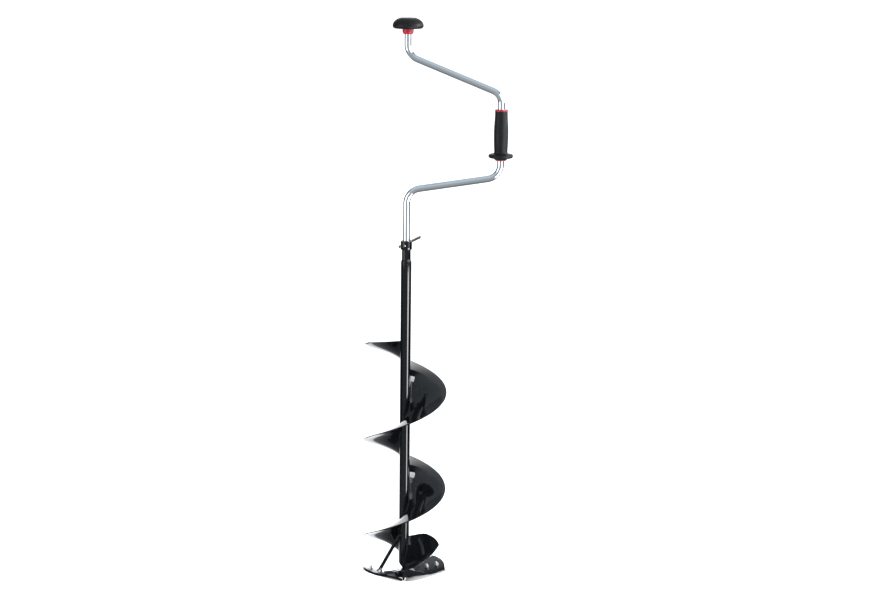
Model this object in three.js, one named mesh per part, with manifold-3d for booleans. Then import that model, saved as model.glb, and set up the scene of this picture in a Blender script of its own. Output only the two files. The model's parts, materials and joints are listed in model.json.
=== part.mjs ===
// Hand ice auger: a crank handle that slides and swivels in the top of a drive tube, a right-hand
// helical flight round the tube, and a two-blade cutting head.
//
// Frame: millimetres, +Z up along the tube's axis, origin on that axis at the level of the lowest
// blade points, +X towards the crank's grip. Angles round the axis are in degrees from +X,
// counter-clockwise seen from above.

import * as THREE from 'three';
import { mergeVertices } from 'three/addons/utils/BufferGeometryUtils.js';
import Module from 'manifold-3d';

const wasm = await Module();
wasm.setup();

// ---- Driving dimensions ------------------------------------------------------------------------

const GAP = 0.3;                       // clearance left between pieces that touch

const TUBE_RADIUS = 12.25;             // drive tube, outside
const TUBE_BORE_RADIUS = 10.5;
const TUBE_TIP_Z = 35.5;               // the tube's lower end is cut to a V, highest at its sides
const TUBE_TIP_SLOPE = 1.1;
const TUBE_TOP_Z = 762;

const NECK_RADIUS = 10.25;             // sleeve pressed into the top of the drive tube
const NECK_SHOULDER_TOP_Z = 768.5;
const NECK_TOP_Z = 809.8;
const NECK_SPIGOT_Z = 728;

const COLLAR_RADIUS = 13.2;            // clamp collar round the top of the neck
const COLLAR_BOTTOM_Z = 790.9;
const COLLAR_TOP_Z = 811.3;
const COLLAR_CHAMFER = 2.2;

const CLAMP_Z = 803;                   // clamp screw, radial, at the back of the collar
const CLAMP_TURN = -12;                // degrees from +Y towards +X
const CLAMP_BAR_DISTANCE = 35.8;
const CLAMP_BAR_LENGTH = 59;
const CLAMP_BAR_RADIUS = 3.05;
const CLAMP_BAR_TILT = 27;
const CLAMP_SCREW_RADIUS = 3.2;

const HANDLE_RADIUS = 8;               // crank tube
const HANDLE_BORE_RADIUS = 6.5;
const HANDLE_BOTTOM_Z = 555;
const HANDLE_TOP_Z = 1303.1;
const CRANK_THROW = 212;
const CRANK_BEND_RADIUS = 34;
const CRANK_CORNER_Z = [927.2, 959.7, 1147.3, 1233.1];

const GRIP_BOTTOM_Z = 997.4;
const GRIP_TOP_Z = 1113.2;
const KNOB_BOTTOM_Z = 1280.2;           // lower end of the knob's red bush
const KNOB_BODY_BOTTOM_Z = 1291.6;
const KNOB_TOP_Z = 1316.8;
const KNOB_RADIUS = 35;

const FLIGHT_RADIUS = 95.8;
const FLIGHT_INNER_RADIUS = 12.6;
const FLIGHT_PITCH = 230;
const FLIGHT_THICKNESS = 2;
const FLIGHT_ZERO_Z = -2.1;            // height that the regular helix would have at 0 degrees
const FLIGHT_START = 49;               // both flights start behind their blade, at this angle
const MAIN_FLIGHT_END = 900;           // two and a third turns further up

const HEAD_SLOPE_X = 0.31;             // each blade rises outwards and backwards by these slopes
const HEAD_SLOPE_Y = 0.22;
const BLADE_THICKNESS = 2.5;
const HOLDER_THICKNESS = 6;
const HOLDER_RADIUS = 96.5;
const BLADE_BOTTOM_Z = -0.71;          // height of the blade's under-plane on the axis
const BLADE_BOLTS = [[25, 15], [57, 22], [80, 19]];
const BOLT_RADIUS = 3;

// ---- Materials ---------------------------------------------------------------------------------

const finish = (color, roughness, metalness) => (
  new THREE.MeshStandardMaterial({ color, roughness, metalness }));
const blackPaint = () => finish(0x0b0c0d, 0.25, 0);
const zincPlate = () => finish(0xc9ced2, 0.22, 1);
const steel = () => finish(0xb4b7b9, 0.3, 1);
const darkSteel = () => finish(0x4a4744, 0.5, 1);
const blackRubber = () => finish(0x161617, 0.7, 0);
const redPlastic = () => finish(0xc81e30, 0.4, 0);
const nylon = () => finish(0xd8d6cc, 0.5, 0);

// ---- Geometry helpers --------------------------------------------------------------------------

const radians = THREE.MathUtils.degToRad;

// Turns a closed geometry's faces outwards if they point inwards.
function outward(geometry) {
  const plain = new THREE.BufferGeometry();
  plain.setAttribute('position', geometry.attributes.position.clone());
  plain.setIndex(geometry.index ? geometry.index.clone() : null);
  const merged = mergeVertices(plain, 1e-4);
  const [a, b, c] = [0, 1, 2].map(() => new THREE.Vector3());
  const index = merged.index.array;
  let volume = 0;
  for (let i = 0; i < index.length; i += 3) {
    a.fromBufferAttribute(merged.attributes.position, index[i]);
    b.fromBufferAttribute(merged.attributes.position, index[i + 1]);
    c.fromBufferAttribute(merged.attributes.position, index[i + 2]);
    volume += a.dot(b.cross(c));
  }
  const kept = [];
  for (let i = 0; i < index.length; i += 3) {
    const [p, q, r] = [index[i], index[i + 1], index[i + 2]];
    if (p !== q && q !== r && r !== p) kept.push(p, volume > 0 ? q : r, volume > 0 ? r : q);
  }
  merged.setIndex(kept);
  return merged;
}

function toSolid(geometry) {
  const closed = outward(geometry);
  return new wasm.Manifold(new wasm.Mesh({
    numProp: 3,
    vertProperties: new Float32Array(closed.attributes.position.array),
    triVerts: new Uint32Array(closed.index.array),
  }));
}

function toGeometry(solid) {
  const mesh = solid.getMesh();
  const geometry = new THREE.BufferGeometry();
  geometry.setAttribute('position', new THREE.BufferAttribute(mesh.vertProperties.slice(), 3));
  geometry.setIndex(new THREE.BufferAttribute(mesh.triVerts.slice(), 1));
  return geometry;
}

function cut(geometry, ...tools) {
  return toGeometry(tools.reduce((solid, tool) => solid.subtract(toSolid(tool)), toSolid(geometry)));
}

function join(geometry, ...others) {
  return toGeometry(others.reduce((solid, other) => solid.add(toSolid(other)), toSolid(geometry)));
}

function piece(name, geometry, material) {
  const mesh = new THREE.Mesh(geometry, material);
  mesh.name = name;
  return mesh;
}

// Solid of revolution about Z. The outline is a list of [radius, height] and closes on itself.
function revolve(outline, segments = 28) {
  const points = outline.map(([radius, height]) => new THREE.Vector2(radius, height));
  if (outline[0][0] > 0) points.push(points[0].clone());
  return outward(new THREE.LatheGeometry(points, segments).rotateX(Math.PI / 2));
}

function rod(radius, bottom, top, segments = 20) {
  return revolve([[0, bottom], [radius, bottom], [radius, top], [0, top]], segments);
}

function ring(inner, outer, bottom, top, segments = 28) {
  return revolve([[inner, bottom], [outer, bottom], [outer, top], [inner, top]], segments);
}

// Points along an arc of an ellipse, for rounded stretches of a lathe outline.
function arcPoints(radius, height, radiusReach, heightReach, from, to, steps) {
  return Array.from({ length: steps + 1 }, (_, i) => {
    const angle = radians(from + ((to - from) * i) / steps);
    return [radius + radiusReach * Math.cos(angle), height + heightReach * Math.sin(angle)];
  });
}

// Height on a smooth curve through [angle, height] points.
function heightOn(points, angle) {
  const last = points.length - 1;
  const slope = (i) => {
    const [a, b] = [points[Math.max(i - 1, 0)], points[Math.min(i + 1, last)]];
    return (b[1] - a[1]) / (b[0] - a[0]);
  };
  if (angle >= points[last][0]) return points[last][1] + slope(last) * (angle - points[last][0]);
  const i = Math.max(points.findIndex(([start]) => start > angle) - 1, 0);
  const [[x0, z0], [x1, z1]] = [points[i], points[i + 1]];
  const width = x1 - x0;
  const t = (angle - x0) / width;
  return z0 * (1 + 2 * t) * (1 - t) ** 2 + z1 * t * t * (3 - 2 * t)
    + width * (slope(i) * t * (1 - t) ** 2 - slope(i + 1) * t * t * (1 - t));
}

// ---- Flights -----------------------------------------------------------------------------------

// A closed sheet of constant thickness on the surface pointAt(across, along), both from 0 to 1.
function sheet(pointAt, thickness, acrossSteps, alongSteps) {
  const box = new THREE.BoxGeometry(1, 1, 1, acrossSteps, 1, alongSteps);
  const position = box.attributes.position;
  const step = 1e-4;
  for (let i = 0; i < position.count; i += 1) {
    const across = position.getX(i) + 0.5;
    const along = position.getZ(i) + 0.5;
    const alongWay = pointAt(across, along + step).sub(pointAt(across, along - step));
    const acrossWay = pointAt(across + step, along).sub(pointAt(across - step, along));
    const normal = acrossWay.cross(alongWay).normalize();
    const point = pointAt(across, along).addScaledVector(normal, position.getY(i) * thickness);
    position.setXYZ(i, point.x, point.y, point.z);
  }
  return outward(box);
}

const regularHeight = (angle) => FLIGHT_ZERO_Z + (FLIGHT_PITCH * angle) / 360;

// Rim and hub heights behind the blade holder, where a flight leaves the holder's plane.
const RIM_START = [[48, 43], [70, 51.5], [90, 58]];
const HUB_START = [[48, 12.5], [60, 22], [75, 33.5], [90, 46], [104, 57]];
const MAIN_RIM = [...RIM_START, [113, regularHeight(113)], [130, regularHeight(130)]];
const MAIN_HUB = [...HUB_START, [120, 70], [140, 85], [165, regularHeight(165)],
  [185, regularHeight(185)]];
const SHORT_RIM = [...RIM_START, [106, 65.5], [132, 87], [150, 105.7]];
const SHORT_HUB = [...HUB_START, [120, 72], [140, 95], [162, 113.5]];
const SHORT_END = [[0, 162], [0.42, 168], [0.67, 163], [0.87, 156], [1, 150]];

function onFlight(rim, hub, across, radius, angle) {
  const hubHeight = heightOn(hub, angle);
  const height = hubHeight + (heightOn(rim, angle) - hubHeight) * across;
  return new THREE.Vector3(
    radius * Math.cos(radians(angle)), radius * Math.sin(radians(angle)), height);
}

function mainFlight() {
  const hubExtra = 8;                  // the top end's cut leans back towards the hub
  const cornerAngle = 12;
  const cornerCut = 9;
  return sheet((across, along) => {
    const end = MAIN_FLIGHT_END + hubExtra * (1 - across);
    const angle = FLIGHT_START + (end - FLIGHT_START) * along;
    const corner = Math.max(angle - (MAIN_FLIGHT_END - cornerAngle), 0) / cornerAngle;
    const outer = FLIGHT_RADIUS - cornerCut * corner ** 2;
    const radius = FLIGHT_INNER_RADIUS + (outer - FLIGHT_INNER_RADIUS) * across;
    return onFlight(MAIN_RIM, MAIN_HUB, across, radius, angle);
  }, FLIGHT_THICKNESS, 2, 88);
}

function shortFlight() {
  return sheet((across, along) => {
    const end = heightOn(SHORT_END, across);
    const angle = FLIGHT_START + (end - FLIGHT_START) * along;
    const radius = FLIGHT_INNER_RADIUS + (FLIGHT_RADIUS - FLIGHT_INNER_RADIUS) * across;
    return onFlight(SHORT_RIM, SHORT_HUB, across, radius, angle);
  }, FLIGHT_THICKNESS, 6, 14);
}

// ---- Cutting head ------------------------------------------------------------------------------

// A flat plate in the head's sloping plane: its plan outline, extruded and then sheared.
function slopingPlate(shape, bottom, thickness, curveSegments) {
  const geometry = new THREE.ExtrudeGeometry(
    shape, { depth: thickness, bevelEnabled: false, curveSegments });
  const shear = new THREE.Matrix4().set(
    1, 0, 0, 0,
    0, 1, 0, 0,
    HEAD_SLOPE_X, HEAD_SLOPE_Y, 1, bottom,
    0, 0, 0, 1);
  return geometry.applyMatrix4(shear);
}

const headNormal = new THREE.Vector3(-HEAD_SLOPE_X, -HEAD_SLOPE_Y, 1).normalize();
const headTilt = new THREE.Quaternion().setFromUnitVectors(new THREE.Vector3(0, 0, 1), headNormal);
const headHeight = (x, y, level) => level + HEAD_SLOPE_X * x + HEAD_SLOPE_Y * y;
const holderBottom = BLADE_BOTTOM_Z + BLADE_THICKNESS + GAP;
const holderTop = holderBottom + HOLDER_THICKNESS;

function bladeShape() {
  const shape = new THREE.Shape();
  shape.moveTo(3, -1);
  shape.splineThru([[20, -7.6], [38.7, -11.2], [66.6, -11], [83, -8.8], [101.2, -7]]
    .map(([x, y]) => new THREE.Vector2(x, y)));
  shape.lineTo(85, 44);
  shape.lineTo(12, 33);
  return shape;
}

function holderShape() {
  const trailing = radians(FLIGHT_START - 2.5);
  const leading = Math.asin(-4 / HOLDER_RADIUS);
  const shape = new THREE.Shape();
  shape.moveTo(2.8, 15.5);
  shape.splineThru([[20, 9.5], [38.7, 1.3], [66.6, -6.3], [83, -5.2]]
    .map(([x, y]) => new THREE.Vector2(x, y)));
  shape.lineTo(HOLDER_RADIUS * Math.cos(leading), HOLDER_RADIUS * Math.sin(leading));
  shape.absarc(0, 0, HOLDER_RADIUS, leading, trailing, false);
  shape.lineTo(13.6, 14.3);
  shape.lineTo(8, 19.5);
  shape.lineTo(2.8, 19.5);
  return shape;
}

// A tool or fastener on the plate's normal, with its height 0 on the blade's underside.
function onBolt(geometry, [x, y]) {
  return geometry.applyQuaternion(headTilt).translate(x, y, headHeight(x, y, BLADE_BOTTOM_Z));
}

function boltHole(place) {
  const clear = BOLT_RADIUS + GAP;
  return onBolt(revolve([[0, -3], [8.2, -3], [clear, 2], [clear, 16], [0, 16]], 16), place);
}

function bladeBolt() {
  const slotDepth = 1;
  const length = 17.5;
  const head = [[0, slotDepth], [1.6, slotDepth], [1.6, 0.1], [4.9, 0.1], [BOLT_RADIUS, 2]];
  return revolve([...head, [BOLT_RADIUS, length - 0.8], [BOLT_RADIUS - 0.8, length], [0, length]], 16);
}

function bladeNut() {
  const bottom = (holderTop - BLADE_BOTTOM_Z) * headNormal.z + GAP;
  const height = 5;
  const shape = new THREE.Shape();
  for (let i = 0; i < 6; i += 1) {
    const angle = radians(60 * i);
    shape[i ? 'lineTo' : 'moveTo'](5.77 * Math.cos(angle), 5.77 * Math.sin(angle));
  }
  const hole = new THREE.Path();
  hole.absarc(0, 0, BOLT_RADIUS + GAP, 0, 2 * Math.PI, true);
  shape.holes.push(hole);
  const options = { depth: height, bevelEnabled: false, curveSegments: 8 };
  return new THREE.ExtrudeGeometry(shape, options).translate(0, 0, bottom);
}

function headSide(side, turn) {
  const holes = () => BLADE_BOLTS.map(boltHole);
  const group = new THREE.Group();
  group.rotation.z = turn;
  const blade = slopingPlate(bladeShape(), BLADE_BOTTOM_Z, BLADE_THICKNESS, 6);
  const holder = slopingPlate(holderShape(), holderBottom, HOLDER_THICKNESS, 6);
  group.add(piece(`blade_${side}`, cut(blade, ...holes()), steel()));
  group.add(piece(`blade_holder_${side}`, cut(holder, ...holes()), blackPaint()));
  BLADE_BOLTS.forEach((place, i) => {
    group.add(piece(`blade_bolt_${side}_${i + 1}`, onBolt(bladeBolt(), place), steel()));
    group.add(piece(`blade_nut_${side}_${i + 1}`, onBolt(bladeNut(), place), steel()));
  });
  return group;
}

// A plate standing upright: its outline is given in the XZ plane and thickened along Y.
function uprightPlate(outline, halfThickness) {
  const shape = new THREE.Shape(outline.map(([x, z]) => new THREE.Vector2(x, z)));
  const geometry = new THREE.ExtrudeGeometry(shape, { depth: 2 * halfThickness, bevelEnabled: false });
  return geometry.rotateX(Math.PI / 2).translate(0, halfThickness, 0);
}

// Cross-shaped web under the tube's end: its long arms stand on the two blade holders.
function headWeb() {
  const footZ = (x) => headHeight(x, 2, holderTop) + GAP;
  const reach = 47;
  const along = uprightPlate([
    [-reach, footZ(reach)], [0, footZ(0)], [reach, footZ(reach)],
    [reach, footZ(reach) + 1.5], [30, 26.5], [16, 29], [2.5, 34.5],
    [-2.5, 34.5], [-16, 29], [-30, 26.5], [-reach, footZ(reach) + 1.5],
  ], 2);
  const armHalf = 2.5;
  const across = uprightPlate([[-19.5, 9], [19.5, 9], [19.5, 15], [11, 34.5], [-11, 34.5], [-19.5, 15]],
    armHalf).rotateZ(Math.PI / 2);
  return join(along, across);
}

// Round brace from the drive tube's side down to the left blade holder.
function braceRod() {
  const radius = 4.2;
  const top = new THREE.Vector3(-9, -8, 118);
  const foot = new THREE.Vector3(-60, 0, 22);
  const way = foot.clone().sub(top);
  const turn = new THREE.Quaternion().setFromUnitVectors(
    new THREE.Vector3(0, 0, 1), way.clone().normalize());
  const bar = rod(radius, 0, way.length(), 12).applyQuaternion(turn).translate(...top.toArray());
  const tube = rod(TUBE_RADIUS + GAP, 60, 150, 32);
  const floorShape = new THREE.Shape([[-90, -30], [30, -30], [30, 30], [-90, 30]]
    .map(([x, y]) => new THREE.Vector2(-x, -y)));
  const holder = slopingPlate(floorShape, holderTop - 40, 40 + GAP, 1).rotateZ(Math.PI);
  return cut(bar, tube, holder);
}

function driveTube() {
  const wall = ring(TUBE_BORE_RADIUS, TUBE_RADIUS, TUBE_TIP_Z - 5, TUBE_TOP_Z - GAP);
  const sideZ = TUBE_TIP_Z + 20 * TUBE_TIP_SLOPE;
  const below = uprightPlate([[-20, 0], [20, 0], [20, sideZ], [0, TUBE_TIP_Z], [-20, sideZ]], 20);
  return cut(wall, below);
}

// ---- Neck, collar and clamp --------------------------------------------------------------------

// A radial cutter or piece: built along +Z, laid along +Y, turned about the axis and lifted.
function radial(geometry, turn, height) {
  return geometry.rotateX(-Math.PI / 2).rotateZ(radians(turn)).translate(0, 0, height);
}

const RIVET_TURN = 165;              // on the front of the collar, a little to the left
const RIVET_Z = 801.7;
const clampHole = () => radial(rod(CLAMP_SCREW_RADIUS + 0.4, 4, 40), CLAMP_TURN, CLAMP_Z);
const rivetHole = () => radial(rod(1.9, 4, 40, 12), RIVET_TURN, RIVET_Z);

function neckSleeve() {
  const bore = HANDLE_RADIUS + GAP;
  const spigot = TUBE_BORE_RADIUS - GAP;
  return cut(revolve([
    [bore, NECK_SPIGOT_Z], [spigot, NECK_SPIGOT_Z], [spigot, TUBE_TOP_Z], [TUBE_RADIUS, TUBE_TOP_Z],
    [TUBE_RADIUS, TUBE_TOP_Z + 1.5], [NECK_RADIUS, NECK_SHOULDER_TOP_Z], [NECK_RADIUS, NECK_TOP_Z],
    [bore, NECK_TOP_Z],
  ]), clampHole(), rivetHole());
}

function clampCollar() {
  const bore = NECK_RADIUS + GAP;
  return cut(revolve([
    [bore, COLLAR_BOTTOM_Z], [COLLAR_RADIUS - COLLAR_CHAMFER * 0.7, COLLAR_BOTTOM_Z],
    [COLLAR_RADIUS, COLLAR_BOTTOM_Z + COLLAR_CHAMFER], [COLLAR_RADIUS, COLLAR_TOP_Z - 0.8],
    [COLLAR_RADIUS - 0.8, COLLAR_TOP_Z], [bore, COLLAR_TOP_Z],
  ]), clampHole(), rivetHole());
}

function collarRivet() {
  const seat = COLLAR_RADIUS + GAP;
  const dome = arcPoints(0, seat, 2.3, 1.6, 0, 90, 5);
  dome[dome.length - 1][0] = 0;
  return radial(revolve([[0, 8.8], [1.6, 8.8], [1.6, seat], ...dome], 16), RIVET_TURN, RIVET_Z);
}

function clampBoss() {
  const bar = ring(CLAMP_SCREW_RADIUS + 0.4, 6.5, 9, 22, 24);
  return cut(radial(bar, CLAMP_TURN, CLAMP_Z), rod(COLLAR_RADIUS + GAP, 780, 830, 32));
}

function clampScrew() {
  const headStart = CLAMP_BAR_DISTANCE - 4.5;
  const headEnd = CLAMP_BAR_DISTANCE + 4.6;
  const body = revolve([
    [0, 11.4], [CLAMP_SCREW_RADIUS, 11.4], [CLAMP_SCREW_RADIUS, headStart - 2], [5.2, headStart],
    [5.2, headEnd - 1.5], [3.7, headEnd], [0, headEnd],
  ], 24);
  const barHole = rod(CLAMP_BAR_RADIUS + GAP, -20, 20, 16)
    .rotateY(radians(90 - CLAMP_BAR_TILT)).translate(0, CLAMP_BAR_DISTANCE, 0);
  const laid = cut(body.rotateX(-Math.PI / 2), barHole);
  return laid.rotateZ(radians(CLAMP_TURN)).translate(0, 0, CLAMP_Z);
}

function clampBar() {
  const capsule = new THREE.CapsuleGeometry(
    CLAMP_BAR_RADIUS, CLAMP_BAR_LENGTH - 2 * CLAMP_BAR_RADIUS, 4, 14);
  return outward(capsule.rotateZ(-Math.PI / 2).rotateY(radians(-CLAMP_BAR_TILT))
    .translate(0, CLAMP_BAR_DISTANCE, 0).rotateZ(radians(CLAMP_TURN)).translate(0, 0, CLAMP_Z));
}

const clampPad = () => radial(rod(CLAMP_SCREW_RADIUS, HANDLE_RADIUS + 0.35, 11.1), CLAMP_TURN, CLAMP_Z);

// ---- Crank -------------------------------------------------------------------------------------

// A path of straight runs and round bends in the XZ plane, with its stations only where it bends.
class BentPath extends THREE.Curve {
  constructor(corners, bendRadius, bendSteps) {
    super();
    this.stations = [];
    const add = (point, tangent) => this.stations.push({ point, tangent });
    const way = (a, b) => b.clone().sub(a).normalize();
    const last = corners.length - 1;
    add(corners[0], way(corners[0], corners[1]));
    for (let i = 1; i < last; i += 1) {
      const into = way(corners[i - 1], corners[i]);
      const out = way(corners[i], corners[i + 1]);
      const turn = into.angleTo(out);
      const start = corners[i].clone().addScaledVector(into, -bendRadius * Math.tan(turn / 2));
      const inwards = out.clone().addScaledVector(into, -Math.cos(turn)).normalize();
      for (let k = 0; k <= bendSteps; k += 1) {
        const angle = (turn * k) / bendSteps;
        const point = start.clone().addScaledVector(into, bendRadius * Math.sin(angle))
          .addScaledVector(inwards, bendRadius * (1 - Math.cos(angle)));
        const tangent = into.clone().multiplyScalar(Math.cos(angle))
          .addScaledVector(inwards, Math.sin(angle));
        add(point, tangent);
      }
    }
    add(corners[last], way(corners[last - 1], corners[last]));
  }

  getUtoTmapping(u) { return u; }

  blend(t, key) {
    const place = Math.min(Math.max(t, 0), 1) * (this.stations.length - 1);
    const i = Math.min(Math.floor(place), this.stations.length - 2);
    return this.stations[i][key].clone().lerp(this.stations[i + 1][key], place - i);
  }

  getPoint(t) { return this.blend(t, 'point'); }

  getTangent(t) { return this.blend(t, 'tangent').normalize(); }
}

function crankTube() {
  const at = (x, z) => new THREE.Vector3(x, 0, z);
  const [lowInner, lowOuter, highOuter, highInner] = CRANK_CORNER_Z;
  const path = new BentPath([
    at(0, HANDLE_BOTTOM_Z), at(0, lowInner), at(CRANK_THROW, lowOuter), at(CRANK_THROW, highOuter),
    at(0, highInner), at(0, HANDLE_TOP_Z),
  ], CRANK_BEND_RADIUS, 5);
  const section = new THREE.Shape();
  section.absarc(0, 0, HANDLE_RADIUS, 0, 2 * Math.PI, false);
  const bore = new THREE.Path();
  bore.absarc(0, 0, HANDLE_BORE_RADIUS, 0, 2 * Math.PI, true);
  section.holes.push(bore);
  return outward(new THREE.ExtrudeGeometry(section, {
    steps: path.stations.length - 1, curveSegments: 9, bevelEnabled: false, extrudePath: path,
  }));
}

const BUSH_BOTTOM_Z = 562;             // nylon guide bush round the handle's lower end
const BUSH_TOP_Z = 590;

function handleEndPlug() {
  return revolve([
    [0, HANDLE_BOTTOM_Z - 7], [9, HANDLE_BOTTOM_Z - 7], [9.9, HANDLE_BOTTOM_Z - 6],
    [9.9, HANDLE_BOTTOM_Z - GAP], [HANDLE_BORE_RADIUS - GAP, HANDLE_BOTTOM_Z - GAP],
    [HANDLE_BORE_RADIUS - GAP, HANDLE_BOTTOM_Z + 18], [0, HANDLE_BOTTOM_Z + 18],
  ], 24);
}

const stopRing = (bottom) => ring(HANDLE_RADIUS + GAP, 9.9, bottom, bottom + 2.4, 24);

// ---- Grip and knob -----------------------------------------------------------------------------

function gripCore() {
  const bore = HANDLE_RADIUS + GAP;
  return revolve([
    [bore, GRIP_BOTTOM_Z], [12, GRIP_BOTTOM_Z], [12.5, GRIP_BOTTOM_Z + 2], [11, GRIP_BOTTOM_Z + 2],
    [11, GRIP_TOP_Z - 3.6], [14.8, GRIP_TOP_Z - 3.6], [14.8, GRIP_TOP_Z - 0.8], [14, GRIP_TOP_Z],
    [bore, GRIP_TOP_Z],
  ]);
}

function gripRubber() {
  const bore = 11 + GAP;
  const bottom = GRIP_BOTTOM_Z + 2 + GAP;
  const top = GRIP_TOP_Z - 3.6 - GAP;
  const lip = arcPoints(24.4, 1007.9, 3.6, 4.4, -75, 75, 4);
  return revolve([
    [bore, bottom], [14.6, bottom], [17, 1003.2], ...lip, [17.8, 1013.5], [15.2, 1018], [16.1, 1040],
    [16.3, 1062], [15.5, 1085], [14.6, 1098], [14.3, top], [bore, top],
  ]);
}

function knobCore() {
  const bore = HANDLE_RADIUS + GAP;
  return revolve([
    [bore, KNOB_BOTTOM_Z], [9.4, KNOB_BOTTOM_Z], [11.8, KNOB_BOTTOM_Z + 2.6], [12.8, KNOB_BOTTOM_Z + 6.5],
    [12.8, KNOB_BODY_BOTTOM_Z - GAP - 0.3], [12, KNOB_BODY_BOTTOM_Z - GAP], [12, HANDLE_TOP_Z - GAP],
    [bore, HANDLE_TOP_Z - GAP],
  ]);
}

const KNOB_CAP_RADIUS = 18.5;
const KNOB_CAP_THICKNESS = 3;

function knobBody() {
  const wide = 1299;                   // height of the widest place
  const shoulder = arcPoints(9, wide, KNOB_RADIUS - 9, KNOB_TOP_Z + 0.6 - wide, 0, 67.5, 6);
  const under = arcPoints(29.5, wide, KNOB_RADIUS - 29.5, 6.2, -80, 0, 3).slice(0, -1);
  const recess = KNOB_TOP_Z - KNOB_CAP_THICKNESS - GAP;
  return revolve([
    [12 + GAP, KNOB_BODY_BOTTOM_Z], [20, KNOB_BODY_BOTTOM_Z + 0.3], ...under, ...shoulder,
    [KNOB_CAP_RADIUS + GAP, recess], [11.5, recess], [11.5, 1305.5], [12 + GAP, 1303.4],
  ]);
}

const knobCap = () => revolve([
  [0, KNOB_TOP_Z - KNOB_CAP_THICKNESS], [KNOB_CAP_RADIUS, KNOB_TOP_Z - KNOB_CAP_THICKNESS],
  [KNOB_CAP_RADIUS, KNOB_TOP_Z - 0.5], [KNOB_CAP_RADIUS - 1.5, KNOB_TOP_Z], [0, KNOB_TOP_Z],
]);

const knobInsert = () => ring(2.8, HANDLE_BORE_RADIUS - GAP, 1283, HANDLE_TOP_Z - GAP, 20);
const knobWasher = () => ring(2.8, 10.5, HANDLE_TOP_Z + GAP, HANDLE_TOP_Z + 1.8, 24);

function knobScrew() {
  const seat = HANDLE_TOP_Z + 1.8 + GAP;
  const dome = arcPoints(0, seat + 1, 5.2, 3, 0, 90, 4);
  dome[dome.length - 1][0] = 0;
  return revolve([[0, 1286], [2.4, 1286], [2.4, seat], [5.2, seat], ...dome], 20);
}

// ---- Assembly ----------------------------------------------------------------------------------

const auger = new THREE.Group();

auger.add(
  piece('drive_tube', driveTube(), blackPaint()),
  piece('neck_sleeve', neckSleeve(), blackPaint()),
  piece('clamp_collar', clampCollar(), blackPaint()),
  piece('clamp_boss', clampBoss(), blackPaint()),
  piece('collar_rivet', collarRivet(), zincPlate()),
  piece('main_flight', mainFlight(), blackPaint()),
  piece('short_flight', shortFlight().rotateZ(Math.PI), blackPaint()),
  piece('head_web', headWeb(), blackPaint()),
  piece('brace_rod', braceRod(), blackPaint()),
  headSide('right', 0),
  headSide('left', Math.PI),
);

auger.add(
  piece('clamp_pad', clampPad(), nylon()),
  piece('clamp_screw', clampScrew(), darkSteel()),
  piece('clamp_bar', clampBar(), darkSteel()),
);

auger.add(
  piece('guide_bush', ring(HANDLE_RADIUS + GAP, TUBE_BORE_RADIUS - GAP, BUSH_BOTTOM_Z, BUSH_TOP_Z), nylon()),
  piece('crank_tube', crankTube(), zincPlate()),
  piece('handle_end_plug', handleEndPlug(), nylon()),
  piece('stop_ring_lower', stopRing(BUSH_BOTTOM_Z - 2.4 - GAP), steel()),
  piece('stop_ring_upper', stopRing(BUSH_TOP_Z + GAP), steel()),
  piece('knob_insert', knobInsert(), steel()),
  piece('knob_washer', knobWasher(), zincPlate()),
  piece('knob_screw', knobScrew(), zincPlate()),
);

const grip = new THREE.Group();
grip.position.x = CRANK_THROW;
grip.add(
  piece('grip_core', gripCore(), redPlastic()),
  piece('grip_rubber', gripRubber(), blackRubber()),
);
auger.add(grip);

auger.add(
  piece('knob_core', knobCore(), redPlastic()),
  piece('knob_body', knobBody(), blackRubber()),
  piece('knob_cap', knobCap(), redPlastic()),
);

export default auger;
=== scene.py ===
import json
import math

import bmesh
import bpy
import numpy as np
from mathutils import Matrix, Vector


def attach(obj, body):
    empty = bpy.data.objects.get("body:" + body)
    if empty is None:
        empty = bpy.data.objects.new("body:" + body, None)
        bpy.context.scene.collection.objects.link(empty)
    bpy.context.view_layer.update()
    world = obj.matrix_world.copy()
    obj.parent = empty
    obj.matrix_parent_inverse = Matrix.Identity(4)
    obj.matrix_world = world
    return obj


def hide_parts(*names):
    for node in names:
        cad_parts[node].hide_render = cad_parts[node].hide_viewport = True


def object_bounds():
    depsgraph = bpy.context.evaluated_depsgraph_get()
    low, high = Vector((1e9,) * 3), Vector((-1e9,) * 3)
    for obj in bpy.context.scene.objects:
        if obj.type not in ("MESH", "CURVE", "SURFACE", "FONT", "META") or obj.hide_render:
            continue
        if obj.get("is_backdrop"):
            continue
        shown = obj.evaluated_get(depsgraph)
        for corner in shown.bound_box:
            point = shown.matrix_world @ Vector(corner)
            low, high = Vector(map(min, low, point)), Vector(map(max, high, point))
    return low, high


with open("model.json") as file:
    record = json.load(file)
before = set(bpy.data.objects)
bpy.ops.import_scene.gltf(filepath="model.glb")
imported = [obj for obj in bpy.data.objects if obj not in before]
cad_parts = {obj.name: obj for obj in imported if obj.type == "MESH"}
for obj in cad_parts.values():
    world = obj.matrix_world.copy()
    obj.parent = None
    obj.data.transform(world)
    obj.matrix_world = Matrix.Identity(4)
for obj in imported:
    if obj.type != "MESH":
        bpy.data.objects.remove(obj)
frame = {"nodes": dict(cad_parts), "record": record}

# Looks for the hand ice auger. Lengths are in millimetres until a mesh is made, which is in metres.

cad_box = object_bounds()
MM = 0.001


# ---- Materials -----------------------------------------------------------------------------------

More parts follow.
